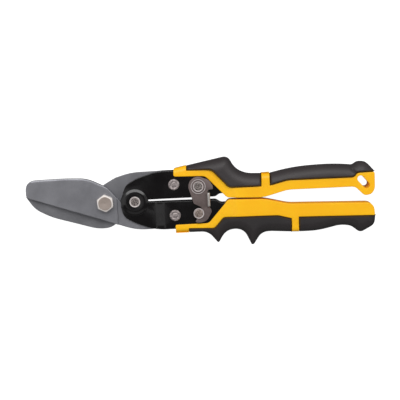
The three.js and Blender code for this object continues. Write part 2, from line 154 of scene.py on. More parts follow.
# ---- meshes ---------------------------------------------------------------------------------
def mesh_object(name, parts, sharp):
    """One smooth object from several (vertices in mm, faces) parts."""
    vertices, faces = [], []
    for part_vertices, part_faces in parts:
        shift = len(vertices)
        for x, y, z in part_vertices:
            vertices.append((x / MM, y / MM, (z + MID_HEIGHT) / MM))
        faces.extend([tuple(i + shift for i in face) for face in part_faces])
    mesh = bpy.data.meshes.new(name)
    mesh.from_pydata(vertices, [], faces)
    mesh.validate()
    mesh.shade_smooth()
    mesh.set_sharp_from_angle(angle=math.radians(sharp))
    piece = bpy.data.objects.new(name, mesh)
    bpy.context.scene.collection.objects.link(piece)
    return piece


COLUMN_SPACING = 0.5


def slab(rings, top, bottom, insets, grid=0.0, columns=()):
    """A closed solid over a flat outline: rings are the outer ring and any holes, and top and
    bottom give the height of each face at points of the plane. The mesh has a row of points at
    each inset from the rings, a lattice between them and a line of points at each column."""
    points = list(rings)
    edges, start = [], 0
    for ring in rings:
        count = len(ring)
        edges += [(start + i, start + (i + 1) % count) for i in range(count)]
        start += count

    def clearance(candidates):
        nearest = np.full(len(candidates), np.inf)
        within = inside(candidates, rings[0])
        for ring in rings:
            nearest = np.minimum(nearest, distance_to(candidates, ring, closed=True))
        for hole in rings[1:]:
            within &= ~inside(candidates, hole)
        return np.where(within, nearest, -nearest)

    for ring in rings:
        along = np.roll(ring, -1, axis=0) - np.roll(ring, 1, axis=0)
        along /= np.maximum(np.linalg.norm(along, axis=1), 1e-9)[:, None]
        normal = np.stack([-along[:, 1], along[:, 0]], axis=1)
        for inset in insets:
            for way in (1, -1):
                moved = ring + way * inset * normal
                points.append(moved[clearance(moved) > 0.96 * inset])
    low, high = rings[0].min(axis=0), rings[0].max(axis=0)
    if grid:
        xs = np.arange(low[0] + grid / 2, high[0], grid)
        ys = np.arange(low[1] + grid / 2, high[1], grid * 0.866)
        mesh_x, mesh_y = np.meshgrid(xs, ys)
        mesh_x = mesh_x + (np.arange(len(ys)) % 2)[:, None] * grid / 2
        lattice = np.stack([mesh_x.ravel(), mesh_y.ravel()], axis=1)
        points.append(lattice[clearance(lattice) > max(insets) + 0.35 * grid])
    for x in columns:
        ys = np.arange(low[1], high[1], COLUMN_SPACING)
        column = np.stack([np.full(len(ys), x), ys], axis=1)
        points.append(column[clearance(column) > 0.05])
    flat = np.concatenate(points)
    found, _, triangles, _, _, _ = delaunay_2d_cdt([Vector(p) for p in flat], edges, [], 0, 1e-4)
    flat = np.array([tuple(v) for v in found])
    triangles = np.array(triangles)
    middles = flat[triangles].mean(axis=1)
    keep = inside(middles, rings[0])
    for hole in rings[1:]:
        keep &= ~inside(middles, hole)
    triangles = triangles[keep]
    a, b, c = (flat[triangles[:, i]] for i in range(3))
    area = (b[:, 0] - a[:, 0]) * (c[:, 1] - a[:, 1]) - (b[:, 1] - a[:, 1]) * (c[:, 0] - a[:, 0])
    solid = np.abs(area) > 1e-7
    triangles = triangles[solid]
    clockwise = area[solid] < 0
    triangles[clockwise] = triangles[clockwise][:, ::-1]

    high_z, low_z = top(flat), bottom(flat)
    count = len(flat)
    vertices = [(x, y, z) for (x, y), z in zip(flat, high_z)]
    vertices += [(x, y, z) for (x, y), z in zip(flat, low_z)]
    faces = [tuple(t) for t in triangles]
    faces += [tuple(count + i for i in t[::-1]) for t in triangles]
    directed = set()
    for t in triangles:
        directed.update([(t[0], t[1]), (t[1], t[2]), (t[2], t[0])])
    for i, j in directed:
        if (j, i) not in directed:
            faces.append((count + i, count + j, j, i))
    return vertices, faces


def level(height):
    """A flat face."""
    return lambda points: np.full(len(points), float(height))


def edged(rings, height, radius, way=1):
    """A flat face whose edges are rounded off; way is -1 for a face that looks down."""

    def face(points):
        nearest = np.min([distance_to(points, ring, closed=True) for ring in rings], axis=0)
        return height - way * rounded(nearest, radius)

    return face


def turned(centre, profile, segments=96):
    """A solid of revolution. The profile is [radius, z, curve] corners from the axis back to it,
    or a closed ring of them."""
    closed = profile[0][0] > 0
    line, _ = curved(profile, PROFILE_STEPS)
    area = sum(a[0] * b[1] - b[0] * a[1] for a, b in zip(line, line[1:] + line[:1]))
    if area < 0:
        line.reverse()
    angles = np.arange(segments) * 2 * math.pi / segments
    vertices, rows = [], []
    for radius, z in line:
        if radius < 1e-6:
            rows.append([len(vertices)] * segments)
            vertices.append((centre[0], centre[1], z))
            continue
        rows.append(list(range(len(vertices), len(vertices) + segments)))
        for angle in angles:
            x = centre[0] + radius * math.cos(angle)
            y = centre[1] + radius * math.sin(angle)
            vertices.append((x, y, z))
    faces = []
    pairs = list(zip(rows, rows[1:])) + ([(rows[-1], rows[0])] if closed else [])
    for lower, upper in pairs:
        for i in range(segments):
            j = (i + 1) % segments
            face = []
            for index in (lower[i], lower[j], upper[j], upper[i]):
                if index not in face:
                    face.append(index)
            if len(face) > 2:
                faces.append(tuple(face))
    return vertices, faces


def flipped(part):
    """The same part on the other side of the plane where the blades meet."""
    vertices, faces = part
    return [(x, y, -z) for x, y, z in vertices], [tuple(face[::-1]) for face in faces]


def swept(path, radius, sides=12):
    """A round wire along a list of points."""
    path = np.array(path, float)
    vertices, faces = [], []
    side = np.array([0.0, 0.0, 1.0])
    for i, point in enumerate(path):
        along = path[min(i + 1, len(path) - 1)] - path[max(i - 1, 0)]
        along /= np.linalg.norm(along)
        across = np.cross(side, along)
        across /= np.linalg.norm(across)
        upward = np.cross(along, across)
        for k in range(sides):
            angle = 2 * math.pi * k / sides
            outwards = math.cos(angle) * across + math.sin(angle) * upward
            vertices.append(tuple(point + radius * outwards))
    for i in range(len(path) - 1):
        for k in range(sides):
            n = (k + 1) % sides
            faces.append((i * sides + k, i * sides + n, (i + 1) * sides + n, (i + 1) * sides + k))
    faces.append(tuple(range(sides))[::-1])
    faces.append(tuple(range((len(path) - 1) * sides, len(path) * sides)))
    return vertices, faces


# ---- materials ------------------------------------------------------------------------------
class Nodes:
    """Small helper that adds nodes to a new material."""

    def __init__(self, name):
        self.material = bpy.data.materials.new(name)
        self.material.use_nodes = True
        self.tree = self.material.node_tree
        self.shader = self.tree.nodes["Principled BSDF"]
        self.position = self.add("ShaderNodeTexCoord").outputs["Object"]

    def add(self, kind, settings=None, **inputs):
        node = self.tree.nodes.new(kind)
        for key, value in (settings or {}).items():
            setattr(node, key, value)
        for key, value in inputs.items():
            self.put(node.inputs[key.replace("_", " ")], value)
        return node

    def put(self, socket, value):
        if isinstance(value, bpy.types.NodeSocket):
            self.tree.links.new(value, socket)
        else:
            socket.default_value = value

    def stretched(self, scale, turn=(0, 0, 0)):
        """Coordinates for a noise drawn out along a direction: turned first and scaled after."""
        node = self.add("ShaderNodeMapping", {"vector_type": "TEXTURE"})
        node.inputs["Rotation"].default_value = turn
        node.inputs["Scale"].default_value = [1 / s for s in scale]
        self.tree.links.new(self.position, node.inputs["Vector"])
        return node.outputs["Vector"]

    def noise(self, scale, detail=3.0, rough=0.55, vector=None):
        node = self.add("ShaderNodeTexNoise", Scale=scale, Detail=detail, Roughness=rough)
        self.tree.links.new(vector or self.position, node.inputs["Vector"])
        return node.outputs["Fac"]

    def ramp(self, value, low, high, at=(0.35, 0.65)):
        node = self.add("ShaderNodeMapRange", Value=value)
        node.inputs["From Min"].default_value = at[0]
        node.inputs["From Max"].default_value = at[1]
        node.inputs["To Min"].default_value = low
        node.inputs["To Max"].default_value = high
        return node.outputs["Result"]

    def mix(self, factor, first, second):
        node = self.add("ShaderNodeMix", {"data_type": "RGBA"})
        self.put(node.inputs["Factor"], factor)
        self.put(node.inputs[6], first)
        self.put(node.inputs[7], second)
        return node.outputs[2]

    def bump(self, height, strength, distance, below=None):
        node = self.add("ShaderNodeBump", Strength=strength, Distance=distance, Height=height)
        if below is not None:
            self.tree.links.new(below, node.inputs["Normal"])
        return node.outputs["Normal"]

    def parting_line(self, below):
        """The fine ridge where the two halves of the mould met, at mid-height."""
        parts = self.add("ShaderNodeSeparateXYZ", Vector=self.position)
        offset = self.add("ShaderNodeMath", {"operation": "SUBTRACT"})
        self.tree.links.new(parts.outputs["Z"], offset.inputs[0])
        offset.inputs[1].default_value = MID_HEIGHT / MM
        distance = self.add("ShaderNodeMath", {"operation": "ABSOLUTE"})
        self.tree.links.new(offset.outputs["Value"], distance.inputs[0])
        ridge = self.ramp(distance.outputs["Value"], 1, 0, (0.0001, 0.0003))
        return self.bump(ridge, 0.6, 0.0003, below)

    def finish(self, **inputs):
        for key, value in inputs.items():
            self.put(self.shader.inputs[key.replace("_", " ")], value)
        return self.material


def rgb(red, green, blue):
    """A colour given as it looks on screen, from 0 to 255, as a linear one."""
    linear = [
        (c / 255 / 12.92) if c < 11 else ((c / 255 + 0.055) / 1.055) ** 2.4
        for c in (red, green, blue)
    ]
    return (*linear, 1.0)


EVEN = (500, 500, 500)  # how finely the grinding marks repeat along X, Y and Z
ALONG_X = (60, 900, 900)


def steel(name, light, dark, rough, metal, brush=EVEN, turn=0.0):
    """Bare steel: blotches, a fine grain, and grinding marks along one direction."""
    n = Nodes(name)
    blotch = n.noise(55, 4)
    marks = n.noise(1.0, 4, 0.6, n.stretched(brush, (0, 0, turn)))
    fine = n.noise(2600, 2)
    colour = n.mix(n.ramp(blotch, 0, 1), dark, light)
    colour = n.mix(n.ramp(marks, 0, 0.2, (0.5, 0.75)), colour, light)
    roughness = n.ramp(marks, rough - 0.03, rough + 0.05)
    normal = n.bump(fine, 0.12, 0.0001)
    normal = n.bump(marks, 0.02, 0.0001, normal)
    return n.finish(Base_Color=colour, Roughness=roughness, Metallic=metal, Normal=normal)


def punched(name, light, dark, scale, depth):
    """Steel that a punch has crushed: coarse grains, light and dark."""
    n = Nodes(name)
    grain = n.noise(scale, 3, 0.7)
    pits = n.add("ShaderNodeTexVoronoi", Scale=scale * 1.3)
    n.tree.links.new(n.position, pits.inputs["Vector"])
    colour = n.mix(n.ramp(grain, 0, 1, (0.38, 0.62)), dark, light)
    normal = n.bump(pits.outputs["Distance"], depth, 0.0004)
    normal = n.bump(grain, depth, 0.0003, normal)
    roughness = n.ramp(grain, 0.35, 0.55)
    return n.finish(Base_Color=colour, Roughness=roughness, Metallic=0.7, Normal=normal)


def ground_bolt(name):
    """Bolt steel coloured near white wherever its surface slopes away from the flat face, so the
    chamfers are bright round a duller face.
    """
    n = Nodes(name)
    blotch = n.noise(90, 4)
    fine = n.noise(1500, 3, 0.7)
    face = n.mix(n.ramp(blotch, 0, 1), rgb(150, 137, 129), rgb(172, 159, 151))
    parts = n.add("ShaderNodeSeparateXYZ")
    n.tree.links.new(n.add("ShaderNodeTexCoord").outputs["Normal"], parts.inputs["Vector"])
    flatness = n.add("ShaderNodeMath", {"operation": "ABSOLUTE"})
    n.tree.links.new(parts.outputs["Z"], flatness.inputs[0])
    chamfer = n.ramp(flatness.outputs["Value"], 1, 0, (0.9, 0.97))
    colour = n.mix(chamfer, face, rgb(238, 231, 226))
    roughness = n.ramp(fine, 0.4, 0.55)
    normal = n.bump(fine, 0.2, 0.0001)
    return n.finish(Base_Color=colour, Roughness=roughness, Metallic=0.35, Normal=normal)


def coated(name):
    """Gloss black coating over stamped steel, with the soft ripple of the sheet beneath it."""
    n = Nodes(name)
    ripple = n.noise(120, 2)
    speck = n.noise(2600, 2)
    dust = n.noise(90, 5, 0.7)
    colour = n.mix(n.ramp(dust, 0, 0.3, (0.5, 0.8)), rgb(8, 6, 7), rgb(17, 14, 15))
    roughness = n.ramp(dust, 0.13, 0.22)
    normal = n.bump(ripple, 0.04, 0.0003)
    normal = n.bump(speck, 0.03, 0.00005, normal)
    return n.finish(Base_Color=colour, Roughness=roughness, Normal=normal, Specular_IOR_Level=0.44)


def plastic(name):
    """Yellow nylon moulding with a fine spark-eroded texture."""
    n = Nodes(name)
    cloud = n.noise(30, 3)
    texture = n.noise(2400, 3, 0.6)
    scuff = n.noise(1.0, 3, 0.6, n.stretched((250, 1800, 1800), (0, 0, 0.4)))
    colour = n.mix(n.ramp(cloud, 0, 1), rgb(251, 184, 0), rgb(255, 192, 6))
    colour = n.mix(n.ramp(scuff, 0, 0.12, (0.62, 0.8)), colour, rgb(255, 208, 60))
    roughness = n.ramp(texture, 0.38, 0.5)
    normal = n.parting_line(n.bump(texture, 0.1, 0.0002))
    return n.finish(Base_Color=colour, Roughness=roughness, Normal=normal, Specular_IOR_Level=0.4,
                    Subsurface_Weight=0.05, Subsurface_Scale=0.002)


def rubber(name, light, dark):
    """Soft black overmoulding with a pebbled skin and a little dust in it."""
    n = Nodes(name)
    cloud = n.noise(40, 4)
    pebbles = n.add("ShaderNodeTexVoronoi", {"feature": "SMOOTH_F1"}, Scale=1100.0)
    n.tree.links.new(n.position, pebbles.inputs["Vector"])
    dust = n.noise(1500, 4, 0.7)
    colour = n.mix(n.ramp(cloud, 0, 1), dark, light)
    colour = n.mix(n.ramp(dust, 0, 0.4, (0.58, 0.8)), colour, rgb(70, 66, 67))
    normal = n.parting_line(n.bump(pebbles.outputs["Distance"], 0.16, 0.0003))
    return n.finish(Base_Color=colour, Roughness=n.ramp(dust, 0.48, 0.6), Normal=normal,
                    Specular_IOR_Level=0.45)


BLADE = steel("front_blade_steel", rgb(143, 143, 148), rgb(130, 130, 135), 0.42, 0.75,
              (40, 500, 500), 1.2)
# Painted shade: the rear blade is the same steel as the front one, given darker colours to stand in
# for the shade it lies in behind the front blade.
REAR_BLADE_SHADED = steel("rear_blade_steel_shaded", rgb(130, 130, 134), rgb(116, 116, 120), 0.45, 0.75,
                   (40, 500, 500), -0.9)
BOLT = ground_bolt("bolt_steel")
RIVET = punched("rivet_face", rgb(180, 170, 168), rgb(118, 109, 109), 800, 0.35)
RIVET_CENTRE = punched("rivet_centre", rgb(156, 146, 142), rgb(14, 11, 11), 1000, 0.8)
RIVET_BEAD = steel("rivet_bead", rgb(236, 229, 226), rgb(202, 194, 191), 0.36, 0.3)
LATCH_BEAD = steel("latch_bead", rgb(206, 197, 196), rgb(172, 163, 162), 0.4, 0.35)
PIN_FACE = punched("pin_face", rgb(166, 151, 143), rgb(104, 92, 85), 800, 0.4)
LATCH_STEEL = steel("latch_sheet", rgb(123, 110, 108), rgb(103, 91, 89), 0.5, 0.7,
                    (300, 900, 900), 1.1)
TAB_STEEL = steel("tab_steel", rgb(188, 184, 180), rgb(160, 155, 152), 0.4, 0.7)
SPRING_STEEL = steel("spring_wire", rgb(120, 120, 122), rgb(88, 88, 90), 0.35, 0.9, ALONG_X)
BLACK = coated("black_coating")
YELLOW = plastic("yellow_nylon")
RUBBER = rubber("soft_rubber", rgb(52, 46, 47), rgb(44, 39, 40))
# Painted shade: the lower grips are the same rubber as the upper ones, given darker colours to
# stand in for the shade on faces that turn away from the key light.
SHADED_LOWER_RUBBER = rubber("shaded_rubber", rgb(37, 32, 33), rgb(30, 26, 27))


def place(name, parts, material, body, nodes=(), sharp=SHARP_ANGLE):
    """Makes a piece, paints it and lets it ride on its body in the stead of the CAD nodes."""
    piece = mesh_object(name, parts, sharp)
    piece.data.materials.append(material)
    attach(piece, body)
    if nodes:
        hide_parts(*nodes)
    return piece


# ---- jaws -----------------------------------------------------------------------------------
BLADE_FACE = 0.15  # each jaw's flat inner face, from the plane where they meet
BLADE_BACK = 4.65
TAIL_HALF = 2.9
EYE_HALF = 3.9  # the boss round the eye of a tail
EYE_RADIUS = 8.4
EYE_INSETS = (0.12, 0.35, 0.7, 1.2)
STEP_X = 10.2  # where a thick blade steps down to its tail
UPPER_JAW = [
    [-68.3, 7.6, 2.5], [-68.6, 22.1, 9], [-35, 22.8, 8], [-15, 22.0, 7], [1.3, 13.8, 5],
    [STEP_X, 3.6, 0.4], [11, 2.9, 0.4], [16.3, -3.5, 3], [22.5, -9.7, 3], [58, -5.4], [58, -21.6],
    [47, -24.6, 4], [26, -25, 9], [9.5, -19.3, 1], [5, -17.4, 1.5],
]
LOWER_JAW = [
    [-69.2, 8, 1], [-61.5, -3.4, 6], [-47.5, -10.9, 7], [-8, -22.9, 6], [3.5, -22.5, 5],
    [STEP_X, -17.6, 2], [STEP_X, -3.4, 0.3], [11, -3, 0.4], [16.3, 3.5, 3], [22.5, 9.7, 3],
    [58, 5.4], [58, 24.8], [50, 25.3, 4], [23, 25.0, 8], [9.5, 21.1, 3], [-3, 14.2, 5],
    [-15, 3, 7], [-14, -9.4, 2],
]
UPPER_SPINE = (1, 4)  # first and last corner of a blade's back
LOWER_SPINE = (1, 5)
UPPER_BOLT_HOLE = 4.3
LOWER_BOLT_HOLE = 4.5
TAIL_RAMP = [9.0, 42.0]  # a tail thickens here to fill the space between the plates
RELIEF_DEPTH = 0.6  # a meeting face is ground to fall away behind its cutting edge
RELIEF_REACH = 11.0
RELIEF_START = [-64.0, -14.0]
RELIEF_END = [-2.0, 9.0]
SPINE_RUN = [-63, 4]  # the part of the spine that is bevelled
SPINE_FADE = [-5, 4]
SPINE_BEVEL = 1.05
SPINE_EDGE = 0.45  # narrow facet along the inner side of the bevel
SPINE_EDGE_SLOPE = 0.3
SPINE_SLOPE = 0.28
SPINE_TURN = [-22.0, -10.0]  # the bevel steepens where the spine starts to curve down
SPINE_STEEPER = 0.5
OUTER_ROUNDING = 0.3
MEETING_ROUNDING = 0.25


def stretch(corners, first, last):
    """The points of an outline that come from one run of its corners."""
    ring, owners = outline(corners)
    return ring[(owners >= first) & (owners <= last)]


def jaw(corners, eye, bolt_hole, spine):
    """A jaw seen from the side of its thick blade: the face steps down at STEP_X to the tail, and
    the meeting face falls away along the tail until the tail fills the gap between the plates."""
    ring, _ = outline(corners, spacing=0.8)
    holes = [circle([0, 0], bolt_hole), circle(eye, RIVET_HOLE)]
    edge = stretch(corners, *spine)
    edge = edge[(edge[:, 0] > SPINE_RUN[0]) & (edge[:, 0] < SPINE_RUN[1])]
    cutting_edge = np.array([corners[-1][:2], corners[0][:2]], float)

    def outer_face(points):
        x = points[:, 0]
        near_edge = rounded(distance_to(points, ring, closed=True), OUTER_ROUNDING)
        depth = SPINE_BEVEL - distance_to(points, edge)
        facet = SPINE_EDGE_SLOPE * np.clip(depth, 0, SPINE_EDGE)
        slope = SPINE_SLOPE + SPINE_STEEPER * smooth(x, *SPINE_TURN)
        bevel = facet + slope * np.clip(depth - SPINE_EDGE, 0, None)
        bevel *= 1 - smooth(x, *SPINE_FADE)
        step = rounded(STEP_X - x, OUTER_ROUNDING)
        return np.where(x < STEP_X - 0.05, BLADE_BACK - bevel - step, TAIL_HALF) - near_edge

    def meeting_face(points):
        x = points[:, 0]
        thick = BLADE_FACE + (-TAIL_HALF - BLADE_FACE) * smooth(x, *TAIL_RAMP)
        rest = 1 - np.clip(distance_to(points, cutting_edge) / RELIEF_REACH, 0, 1)
        relief = RELIEF_DEPTH * (1 - rest**2)
        relief *= smooth(x, *RELIEF_START) * (1 - smooth(x, *RELIEF_END))
        near_edge = rounded(distance_to(points, ring, closed=True), MEETING_ROUNDING)
        return thick + relief + near_edge

    insets = (0.1, 0.3, 0.7, SPINE_BEVEL - SPINE_EDGE, SPINE_BEVEL, 2.2)
    columns = (STEP_X - 0.3, STEP_X - 0.15, STEP_X - 0.06, STEP_X + 0.02)
    body = slab([ring] + holes, outer_face, meeting_face, insets, grid=1.6, columns=columns)
    rim = circle(eye, EYE_RADIUS, 72)
    boss = slab([rim, holes[1]], edged([rim], EYE_HALF, OUTER_ROUNDING),
                edged([rim], -EYE_HALF, OUTER_ROUNDING, -1), EYE_INSETS)
    return body, boss


front_jaw = jaw(UPPER_JAW, UPPER_JAW_EYE, UPPER_BOLT_HOLE, UPPER_SPINE)
rear_jaw = jaw(LOWER_JAW, LOWER_JAW_EYE, LOWER_BOLT_HOLE, LOWER_SPINE)
place("front_blade", front_jaw, BLADE, "upper_jaw", ["upper_jaw"])
place("rear_blade", [flipped(part) for part in rear_jaw], REAR_BLADE_SHADED, "lower_jaw", ["lower_jaw"])


# ---- pivot bolt -----------------------------------------------------------------------------
HEAD_FLATS = 13.3
HEAD_HEIGHT = 5.2
HEAD_TURN = math.radians(4.5)
NUT_FLATS = 13
NUT_LIFT = 0.6  # height of the nut's end over the underside of the tool
BOLT_RADIUS = 4.0
BOLT_CLEARANCE = 4.3
WASHER_RADIUS = 8.2
WASHER = 1.2
WORN_CORNER = 1.11  # reach of a hexagon's corner, when its flats are at 1
CORNER_FOLLOW = 0.2  # how much of the corners still shows in the round face
FACE_CURVE = 1.15


def hex_rim(angle):
    """Radius of a hexagon with worn corners, for flats at unit distance."""
    around = (angle + math.pi / 6) % (math.pi / 3) - math.pi / 6
    return min(1 / math.cos(around), WORN_CORNER)


def hexagonal(flats, low, high, chamfer, slope, centre_profile, bore=0.0, turn=0.0):
    """A hexagonal head or nut with a round face: high is its face, and low its seat. The centre
    profile is (radius, depth) points across the face, from the axis or the bore outwards."""
    segments = 144
    half = flats / 2
    way = 1 if high > low else -1
    angles = np.arange(segments) * 2 * math.pi / segments
    levels = [[(radius, high - way * drop)] * segments for radius, drop in centre_profile]
    for share in (0.0, 0.25, 0.5, 0.75, 1.0):
        row = []
        for angle in angles:
            corner = half * hex_rim(angle)
            start = half - chamfer + CORNER_FOLLOW * (corner - half)
            radius = start + (corner - start) * share
            row.append((radius, high - way * slope * (share**FACE_CURVE) * (corner - start)))
        levels.append(row)
    levels.append([(half * hex_rim(angle), low) for angle in angles])
    levels.append([(max(bore, 0.01), low)] * segments)
    vertices, rows = [], []
    for row in levels:
        rows.append(list(range(len(vertices), len(vertices) + segments)))
        for angle, (radius, z) in zip(angles + turn, row):
            vertices.append((radius * math.cos(angle), radius * math.sin(angle), z))
    faces = []
    closing = [(rows[-1], rows[0])] if bore else []
    for inner_row, outer_row in list(zip(rows, rows[1:])) + closing:
        for i in range(segments):
            j = (i + 1) % segments
            face = (inner_row[i], outer_row[i], outer_row[j], inner_row[j])
            faces.append(face if way > 0 else face[::-1])
    if not bore:
        faces.append(tuple(rows[0]) if way > 0 else tuple(rows[0][::-1]))
    return vertices, faces


HEAD_SEAT = BLADE_BACK + GAP
dimple = [(0.05, 0.15), (0.45, 0.12), (0.8, 0.03), (1.1, 0.0), (5.2, 0.0)]
head = hexagonal(HEAD_FLATS, HEAD_SEAT, HEAD_SEAT + HEAD_HEIGHT, 0.95, 0.75, dimple, turn=HEAD_TURN)
shank = turned([0, 0], [
    [0, HEAD_SEAT + 1], [BOLT_RADIUS, HEAD_SEAT + 1], [BOLT_RADIUS, -MID_HEIGHT, 0.5],
    [0, -MID_HEIGHT],
])
place("main_bolt", [head, shank], BOLT, "upper_jaw", ["pivot_bolt"])

WASHER_BACK = -(BLADE_BACK + GAP + WASHER)
washer = turned([0, 0], [
    [BOLT_CLEARANCE, WASHER_BACK], [WASHER_RADIUS, WASHER_BACK, 0.3],
    [WASHER_RADIUS, WASHER_BACK + WASHER, 0.3], [BOLT_CLEARANCE, WASHER_BACK + WASHER],
])
place("main_washer", [washer], RIVET, "upper_jaw", ["pivot_washer"])
nut_face = [(BOLT_CLEARANCE, 0.5), (BOLT_CLEARANCE + 0.5, 0.0)]
nut = hexagonal(NUT_FLATS, WASHER_BACK - GAP, NUT_LIFT - MID_HEIGHT, 0.9, 0.5, nut_face,
                bore=BOLT_CLEARANCE)
place("main_nut", [nut], BOLT, "upper_jaw", ["pivot_nut"])


# ---- handle plates --------------------------------------------------------------------------
PLATE = 1.7
UPPER_KNUCKLE_Z = 5.2  # inner faces of the plates, at the handle pivot
LOWER_KNUCKLE_Z = 3.2
COMMON_Z = 4.2  # and behind the joggle
PLATE_TOP = COMMON_Z + PLATE
JOGGLE = [43.5, 51.0]
BEND = 0.3  # half the width of each bend of the joggle
UPPER_PLATE = [
    [15.7, 8.4, 1], [18.6, 14.8, 3], [24.8, 18.6, 4], [30.5, 21.1, 5], [36.8, 22.6, 4],
    [43, 24.8, 3], [52, 25.4, 3], [66, 25.2, 3], [74, 23.8, 3], [88, 23, 3], [104, 14, 4],
    [128, 14, 2], [128, 3.9, 2], [99.2, 3.9, 1.5], [95.6, 1.4, 1.5], [34.5, 1.4, 0.5],
    [34.5, -6.5, 0.5], *arc(HANDLE_PIVOT, 12.3, -39, -213, 60),
]
LOWER_PLATE = [
    [13.3, -3.6, 0.5], [15.4, -13, 5], [25, -18.8, 6], [40, -24.4, 5], [48, -25.3, 3],
    [66, -25.3, 3], [74, -24.3, 3], [88, -24.3, 3], [104, -15, 4], [128, -15, 2], [128, -4.4, 2],
    [100.2, -4.4, 1.5], [95.8, -1.5, 1.5], *arc(HANDLE_PIVOT, 10.5, -5.4, 192, 60),
]


def joggled(knuckle_z):
    """Height of a plate's inner face: a plain bend either side of a flat slope."""

    def height(points):
        x = points[:, 0]
        share = (x - JOGGLE[0]) / (JOGGLE[1] - JOGGLE[0])
        return knuckle_z + (COMMON_Z - knuckle_z) * np.clip(share, 0, 1)

    return height


def plate(corners, knuckle_z, holes):
    """A stamped plate, with holes of (centre, radius)."""
    ring, _ = outline(corners, spacing=1.2)
    rings = [ring] + [circle(centre, radius) for centre, radius in holes]
    inner = joggled(knuckle_z)

    def front(points):
        return inner(points) + PLATE - rounded(distance_to(points, ring, closed=True), 0.45)

    def back(points):
        return inner(points) + rounded(distance_to(points, ring, closed=True), 0.2)

    bends = [x + side for x in JOGGLE for side in (-BEND, BEND)]
    return slab(rings, front, back, (0.07, 0.2, 0.45), columns=bends)


PLATEAU_FOOT = UPPER_KNUCKLE_Z + PLATE
PLATEAU_RISE = 0.8  # at its hole; its rim is a little higher
PLATEAU_RADIUS = 11.0
plateau = turned(HANDLE_PIVOT, [
    [HANDLE_PIVOT_HOLE, PLATEAU_FOOT - 0.4], [PLATEAU_RADIUS, PLATEAU_FOOT - 0.4],
    [PLATEAU_RADIUS, PLATEAU_FOOT - 0.05], [10.8, PLATEAU_FOOT + 0.05, 0.4],
    [8.5, PLATEAU_FOOT + 0.9, 0.6], [HANDLE_PIVOT_HOLE, PLATEAU_FOOT + PLATEAU_RISE, 0.3],
], 128)
upper = plate(UPPER_PLATE, UPPER_KNUCKLE_Z, [
    (HANDLE_PIVOT, HANDLE_PIVOT_HOLE), (LOWER_JAW_EYE, RIVET_HOLE), (LATCH_PIVOT, RIVET_HOLE),
])
lower = plate(LOWER_PLATE, LOWER_KNUCKLE_Z, [
    (HANDLE_PIVOT, HANDLE_PIVOT_HOLE), (UPPER_JAW_EYE, RIVET_HOLE), (CATCH, CATCH_HOLE),
])
place("upper_plate_front", [upper, plateau], BLACK, "upper_handle", ["upper_front_plate"])
place("upper_plate_back", [flipped(upper), flipped(plateau)], BLACK, "upper_handle",
      ["upper_back_plate"])
place("lower_plate_front", [lower], BLACK, "lower_handle", ["lower_front_plate"])
place("lower_plate_back", [flipped(lower)], BLACK, "lower_handle", ["lower_back_plate"])


# ---- rivets and pins ------------------------------------------------------------------------
SHANK = 2.9
JAW_RIVET_RADIUS = 4.85
JAW_RIVET_HEIGHT = 1.3
JAW_RIVET_DISH = 0.55
SEAT = PLATE_TOP + GAP
BACK_HEAD_RADIUS = 4.6
BACK_HEAD = 1.3
CENTRE_SEGMENTS = 48


def jaw_rivet(centre):
    """A rivet with a ring pressed in each of its flat heads."""
    radius, top = JAW_RIVET_RADIUS, SEAT + JAW_RIVET_HEIGHT
    half = [
        [0, top - 0.1], [radius * 0.36, top - 0.1, 0.3], [radius * 0.5, top - JAW_RIVET_DISH, 0.3],
        [radius * 0.66, top - 0.05, 0.3], [radius * 0.84, top, 0.3], [radius, top - 0.55, 0.3],
        [radius, SEAT, 0.1], [SHANK, SEAT],
    ]
    mirrored = [[p[0], -p[1], *p[2:]] for p in half][::-1]
    return turned(centre, half + mirrored)


def back_head(seat):
    """Profile of a plain head on the tool's back, from its seat to the axis."""
    return [
        [BACK_HEAD_RADIUS, seat], [BACK_HEAD_RADIUS, seat - BACK_HEAD, 0.45],
        [2.8, seat - BACK_HEAD, 0.2], [2.5, seat - 1.2, 0.2], [0, seat - 1.2],
    ]


def beaded_rivet(centre, radius, shank_radius, front_seat, back_seat, bead, height):
    """A rivet whose spread head leaves a raised bead round a sunken middle, at the front."""
    top = front_seat + height
    inner = radius - bead
    return turned(centre, [
        [0, top - 0.55], [inner - 0.1, top - 0.55, 0.15], [inner + 0.25, top, 0.25],
        [radius - 0.35, top, 0.25], [radius, top - 0.5, 0.2], [radius, front_seat],
        [shank_radius, front_seat], [shank_radius, back_seat], *back_head(back_seat),
    ])


def punched_disc(name, centre, radius, height, body, material):
    """The rough face that a punch leaves in the middle of a rivet."""
    disc = turned(centre, [
        [0, height - 0.3], [0, height + 0.12], [radius * 0.8, height + 0.06, 0.3],
        [radius, height - 0.1, 0.1], [radius, height - 0.3],
    ], CENTRE_SEGMENTS)
    place(name, [disc], material, body)


place("upper_jaw_rivet_head", [jaw_rivet(UPPER_JAW_EYE)], RIVET, "lower_handle",
      ["upper_jaw_rivet"])
place("lower_jaw_rivet_head", [jaw_rivet(LOWER_JAW_EYE)], RIVET, "upper_handle",
      ["lower_jaw_rivet"])

PIVOT_SEAT = PLATEAU_FOOT + PLATEAU_RISE + GAP
pivot_rivet = beaded_rivet(HANDLE_PIVOT, 4.7, 3.5, PIVOT_SEAT, -PIVOT_SEAT, 0.95, 1.2)
place("handle_rivet", [pivot_rivet], RIVET_BEAD, "lower_handle", ["handle_pivot_rivet"])
punched_disc("handle_rivet_centre", HANDLE_PIVOT, 3.7, PIVOT_SEAT + 0.72, "lower_handle",
             RIVET_CENTRE)

